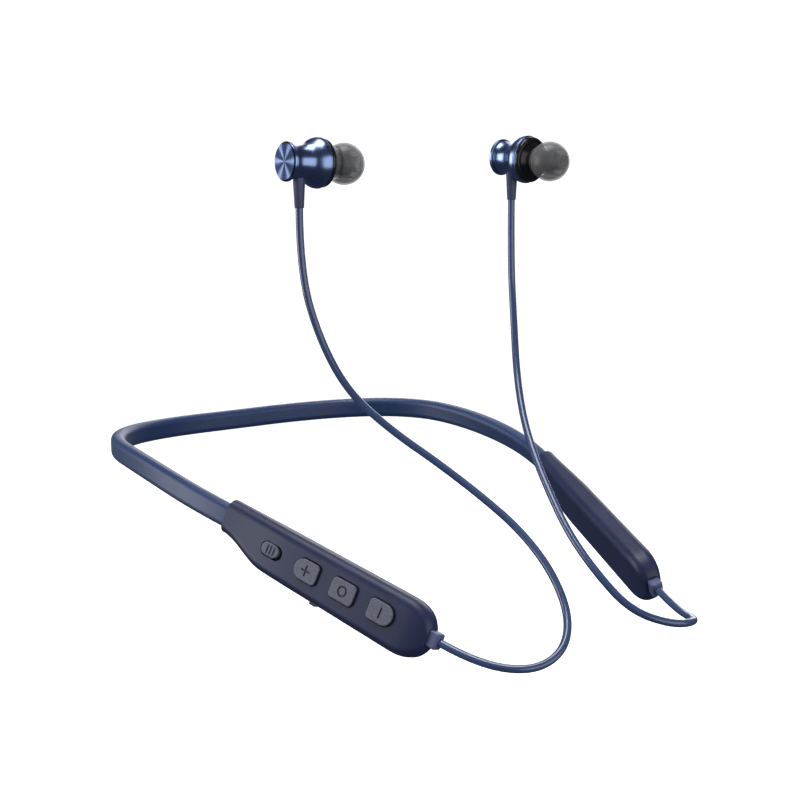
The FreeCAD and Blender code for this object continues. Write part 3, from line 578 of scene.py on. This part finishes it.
class EARPHONES_OT_stage(bpy.types.Operator):
    """Camera, pale floor that curves up into a backdrop, and soft lights"""

    bl_idname = "earphones.stage"
    bl_label = "Stage"

    def execute(self, context):
        stage = context.scene.earphones.stage
        self.add_camera(context, stage)
        self.add_floor(context, stage)
        self.add_lights(context, stage)
        context.scene.view_settings.view_transform = "Standard"
        return {"FINISHED"}

    def add_camera(self, context, stage):
        data = bpy.data.cameras.new("camera")
        data.lens = stage.lens
        data.clip_start = 0.01
        camera = bpy.data.objects.new("camera", data)
        camera.location = stage.place
        camera.rotation_euler = (math.pi / 2 - stage.elevation, 0.0, stage.azimuth)
        context.scene.collection.objects.link(camera)
        context.scene.camera = camera

    def add_floor(self, context, stage):
        low = CAD_BOX[0].z - stage.floor_drop
        turns = [math.pi / 2 * step / FLOOR_BEND_STEPS for step in range(1, FLOOR_BEND_STEPS + 1)]
        outline = [(0.0, 0.0), (FLOOR_FLAT, 0.0)]
        outline += [(FLOOR_FLAT + FLOOR_BEND * math.sin(turn), FLOOR_BEND * (1 - math.cos(turn)))
                    for turn in turns]
        outline.append((FLOOR_FLAT + FLOOR_BEND, FLOOR_WALL))
        shape = bmesh.new()
        vertices = [shape.verts.new((radius, 0.0, low + height)) for radius, height in outline]
        for first, second in zip(vertices, vertices[1:]):
            shape.edges.new((first, second))
        bmesh.ops.spin(shape, geom=shape.verts[:] + shape.edges[:], cent=(0, 0, 0), axis=(0, 0, 1),
                       angle=math.tau, steps=FLOOR_STEPS, use_merge=True)
        bmesh.ops.remove_doubles(shape, verts=shape.verts, dist=0.00001)
        mesh = bpy.data.meshes.new("floor")
        shape.to_mesh(mesh)
        shape.free()
        mesh.shade_smooth()
        shader = Shader("pale_floor")
        mesh.materials.append(shader.surface(
            shader.mix(shader.noise(size=0.4), *FLOOR_WHITE), 0.9,
            Emission_Color=(1.0, 1.0, 1.0, 1.0), Emission_Strength=FLOOR_GLOW))
        floor = bpy.data.objects.new("floor", mesh)
        floor.visible_glossy = False
        floor.visible_diffuse = False
        context.scene.collection.objects.link(floor)

    def add_lights(self, context, stage):
        world = bpy.data.worlds.new("studio")
        context.scene.world = world
        world.use_nodes = True
        background = world.node_tree.nodes["Background"]
        background.inputs["Color"].default_value = STUDIO_DIMNESS
        background.inputs["Strength"].default_value = 1.0
        middle = (CAD_BOX[0] + CAD_BOX[1]) / 2
        for name, (direction, distance, size, power) in LAMPS.items():
            data = bpy.data.lights.new(name, "AREA")
            data.shape = "RECTANGLE"
            data.size, data.size_y = size
            data.energy = power * stage.light
            lamp = bpy.data.objects.new(name, data)
            away = Vector(direction).normalized()
            lamp.location = middle + away * distance
            lamp.rotation_mode = "QUATERNION"
            lamp.rotation_quaternion = away.to_track_quat("Z", "Y")
            lamp.visible_camera = False
            context.scene.collection.objects.link(lamp)


class EARPHONES_OT_cords(bpy.types.Operator):
    """The two cords, from the strain reliefs to the glands"""

    bl_idname = "earphones.cords"
    bl_label = "Cords"

    def execute(self, context):
        cords = context.scene.earphones.cords
        material = cord_jacket("cord_jacket", cords.tint, cords.roughness)
        for side in SIDES:
            route = ROUTES[side]
            curve = bpy.data.curves.new(side + "_hanging_cord", "CURVE")
            curve.dimensions = "3D"
            spline = curve.splines.new("NURBS")
            spline.points.add(len(route) - 1)
            for point, place in zip(spline.points, route):
                point.co = (*place, 1.0)
            spline.order_u = 3
            spline.use_endpoint_u = True
            spline.resolution_u = CORD_STEPS
            curve.bevel_depth = cords.diameter / 2
            curve.bevel_resolution = CORD_ROUNDING
            curve.use_fill_caps = True
            curve.materials.append(material)
            cord = bpy.data.objects.new(side + "_hanging_cord", curve)
            context.scene.collection.objects.link(cord)
            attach(cord, "neckband")
            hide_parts(side + "_cord")
        return {"FINISHED"}


class EARPHONES_OT_band(bpy.types.Operator):
    """Finish of the neckband and of the spring and wires in its duct"""

    bl_idname = "earphones.band"
    bl_label = "Band"

    def execute(self, context):
        band = context.scene.earphones.band
        dress("band_sleeve", soft_rubber("band_rubber", band.tint, band.bloom, band.roughness))
        dress("band_spring", plain_metal("spring_steel", SPRING_STEEL, 0.30))
        dress("band_wires", moulded_plastic("wire_insulation", WIRE_RED, 0.4))
        return {"FINISHED"}


class EARPHONES_OT_housings(bpy.types.Operator):
    """Finish of the shells and the glands"""

    bl_idname = "earphones.housings"
    bl_label = "Housings"

    def execute(self, context):
        housings = context.scene.earphones.housings
        shell = moulded_plastic("housing_plastic", housings.shell, housings.shell_roughness)
        gland = moulded_plastic("gland_plastic", housings.gland, 0.30)
        for side in SIDES:
            dress(side + "_outer_shell", shell)
            dress(side + "_inner_shell", shell)
            dress(side + "_gland", gland)
        return {"FINISHED"}


class EARPHONES_OT_controls(bpy.types.Operator):
    """Finish of the keys, the slider, the port cover and the socket"""

    bl_idname = "earphones.controls"
    bl_label = "Controls"

    def execute(self, context):
        housings = context.scene.earphones.housings
        outward = -Vector(JOINTS["plus_key_press"]["axis"]).normalized()
        dress("power_slider", moulded_plastic(
            "slider_plastic", housings.key, 0.5, grain_size=0.00042, grain_depth=0.00003))
        # Each key's cut signs get painted shade on their floor.
        for node in ("button_plus", "button_multi", "button_minus"):
            face = max((vertex.co.dot(outward) for vertex in NODES[node].data.vertices))
            material = key_plastic(node + "_plastic", housings.key, housings.sign, outward, outward * face)
            dress(node, material)
        dress("port_cover", soft_rubber("cover_rubber", housings.shell, housings.gland, 0.5))
        dress("charging_socket", plain_metal("socket_plating", SOCKET_PLATING, 0.22))
        return {"FINISHED"}


class EARPHONES_OT_bud_bodies(bpy.types.Operator):
    """Turned caps and flared shells of the buds"""

    bl_idname = "earphones.bud_bodies"
    bl_label = "Bud bodies"

    def execute(self, context):
        buds = context.scene.earphones.buds
        for side in SIDES:
            place = bud_place(side)
            turned = turned_metal(side + "_anodised_metal", buds.metal, place, 0.26)
            # The cap's face takes painted reflection: light and dark sectors painted into its colour.
            painted_reflection = painted_reflection_metal(side + "_painted_reflection_cap", buds.metal, buds.painted_shade_metal, place)
            cap = self.turn(context, side + "_turned_cap", CAP_OUTLINE, place, turned, [side + "_bud_cap"])
            cap.data.materials.append(painted_reflection)
            forward = Vector(place.col[0][:3])
            for face in cap.data.polygons:
                ahead = (face.center - place.translation).dot(forward)
                face.material_index = int(
                    ahead < CAP_FACE_DEPTH * MM and face.normal.dot(forward) < -FACING)
            self.turn(context, side + "_flared_shell", SHELL_OUTLINE, place, turned, [side + "_bud_shell"])
        return {"FINISHED"}

    def turn(self, context, name, outline, place, material, replaces):
        shape = spun(flowing(outline), context.scene.earphones.buds.turning_steps)
        bmesh.ops.transform(shape, matrix=place, verts=shape.verts)
        return finished(name, shape, "neckband", material, replaces)


class EARPHONES_OT_bud_fronts(bpy.types.Operator):
    """Black front rings with their nozzles, and the wire cloth in them"""

    bl_idname = "earphones.bud_fronts"
    bl_label = "Bud fronts"

    def execute(self, context):
        buds = context.scene.earphones.buds
        material = moulded_plastic("front_plastic", buds.front, 0.16)
        screen = woven_screen("wire_cloth", SCREEN_STEEL)
        for side in SIDES:
            shape = spun(flowing(FRONT_OUTLINE), buds.turning_steps)
            bmesh.ops.transform(shape, matrix=bud_place(side), verts=shape.verts)
            finished(side + "_front_ring", shape, "neckband", material,
                     [side + "_bud_nozzle"])
            dress(side + "_nozzle_mesh", screen)
            dress(side + "_bud_driver", plain_metal(side + "_driver_case", DRIVER_METAL, 0.3))
            dress(side + "_bud_magnet", plain_metal(side + "_magnet_plating", MAGNET_NICKEL, 0.2))
        return {"FINISHED"}


class EARPHONES_OT_ear_tips(bpy.types.Operator):
    """Silicone tips: a thin dome over a sleeve that grips the nozzle"""

    bl_idname = "earphones.ear_tips"
    bl_label = "Ear tips"

    def execute(self, context):
        buds = context.scene.earphones.buds
        material = silicone("tip_silicone", buds.tip, buds.tip_cover)
        middle_radius, inner_radius = TIP_RADIUS - TIP_WALL / 2, TIP_RADIUS - TIP_WALL
        rounding = TIP_REAR + TIP_REAR_ROUNDING
        outline = ball_arc(TIP_CENTRE, TIP_RADIUS, TIP_MOUTH, TIP_REAR, TIP_OUTER_STEPS)
        outline += ball_arc(TIP_CENTRE, middle_radius, rounding, rounding, 1)
        outline += ball_arc(TIP_CENTRE, inner_radius, TIP_REAR, TIP_FRONT_INSIDE, TIP_INNER_STEPS)
        outline += flowing(TIP_SLEEVE, TIP_SLEEVE_STEPS)
        outline.append(outline[0])
        for side in SIDES:
            shape = spun(outline, buds.turning_steps)
            bmesh.ops.transform(shape, matrix=bud_place(side), verts=shape.verts)
            finished(side + "_silicone_tip", shape, side + "_tip", material,
                     [side + "_ear_tip"], TIP_CORNER)
        return {"FINISHED"}


class EARPHONES_OT_strain_reliefs(bpy.types.Operator):
    """Tapered eight-sided sleeves that guide the cords out of the buds"""

    bl_idname = "earphones.strain_reliefs"
    bl_label = "Strain reliefs"

    def execute(self, context):
        housings = context.scene.earphones.housings
        material = moulded_plastic("relief_rubber", housings.relief, 0.34)
        for side in SIDES:
            foot = Vector(ROUTES[side][0])
            low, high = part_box(side + "_strain_relief")
            tall = high.z - low.z
            shape = bmesh.new()
            bmesh.ops.create_cone(
                shape, cap_ends=True, segments=RELIEF_SIDES, radius1=RELIEF_FOOT_RADIUS * MM,
                radius2=RELIEF_TOP_RADIUS * MM, depth=tall,
                matrix=Matrix.Translation((0, 0, tall / 2)))
            upright = [edge for edge in shape.edges
                       if abs(edge.verts[0].co.z - edge.verts[1].co.z) > tall / 2]
            bmesh.ops.bevel(shape, geom=upright, offset=RELIEF_EDGE * MM,
                            segments=RELIEF_EDGE_STEPS, profile=0.5, affect="EDGES", material=-1)
            rim = [edge for edge in shape.edges if max(vert.co.z for vert in edge.verts) < 0.01 * MM]
            bmesh.ops.bevel(shape, geom=rim, offset=RELIEF_RIM * MM,
                            segments=RELIEF_RIM_STEPS, profile=0.5, affect="EDGES", material=-1)
            bmesh.ops.translate(shape, vec=foot, verts=shape.verts)
            finished(side + "_tapered_relief", shape, "neckband", material,
                     [side + "_strain_relief"])
        return {"FINISHED"}


class EARPHONES_OT_insides(bpy.types.Operator):
    """Finish of what the housings hold"""

    bl_idname = "earphones.insides"
    bl_label = "Insides"

    def execute(self, context):
        laminate = board_laminate("board_laminate", LACQUER_GREEN, TRACK_GREEN)
        steel = plain_metal("switch_steel", SWITCH_STEEL, 0.28)
        resin = moulded_plastic("chip_resin", RESIN_BLACK, 0.5)
        finishes = {
            "main_board": laminate,
            "safety_board": laminate,
            "dome_switches": steel,
            "microphone": steel,
            "board_screws": steel,
            "radio_chip": resin,
            "slide_switch": resin,
            "button_pad": soft_rubber("pad_rubber", PAD_GREY, PAD_BLOOM, 0.6),
            "battery_cell": plain_metal("cell_foil", CELL_FOIL, 0.34, line_size=0.0008),
            "battery_tape": moulded_plastic(
                "foam_tape", FOAM_BLACK, 0.8, grain_size=0.0004, grain_depth=0.00008),
            "battery_leads": moulded_plastic("lead_insulation", LEAD_RED, 0.4),
        }
        for node, material in finishes.items():
            dress(node, material)
        return {"FINISHED"}


class EARPHONES_PT_panel(bpy.types.Panel):
    """The steps, in the order they are made"""

    bl_idname = "EARPHONES_PT_panel"
    bl_label = "Earphones"
    bl_space_type = "VIEW_3D"
    bl_region_type = "UI"
    bl_category = "Earphones"

    def draw(self, context):
        for step in STEPS:
            self.layout.operator(step.bl_idname)


STEPS = (
    EARPHONES_OT_stage, EARPHONES_OT_cords, EARPHONES_OT_band, EARPHONES_OT_housings,
    EARPHONES_OT_controls, EARPHONES_OT_bud_bodies, EARPHONES_OT_bud_fronts, EARPHONES_OT_ear_tips,
    EARPHONES_OT_strain_reliefs, EARPHONES_OT_insides)
GROUPS = (
    EARPHONES_PG_cords, EARPHONES_PG_band, EARPHONES_PG_housings, EARPHONES_PG_buds,
    EARPHONES_PG_stage, EARPHONES_PG_settings)


def register():
    for group in (*GROUPS, *STEPS, EARPHONES_PT_panel):
        bpy.utils.register_class(group)
    bpy.types.Scene.earphones = bpy.props.PointerProperty(
        type=EARPHONES_PG_settings, name="Earphones", description="Settings of the earphones")


def unregister():
    del bpy.types.Scene.earphones
    for group in reversed((*GROUPS, *STEPS, EARPHONES_PT_panel)):
        bpy.utils.unregister_class(group)


def main():
    """Makes everything in order."""
    register()
    for step in STEPS:
        family, name = step.bl_idname.split(".")
        getattr(getattr(bpy.ops, family), name)()


if __name__ == "__main__":
    main()
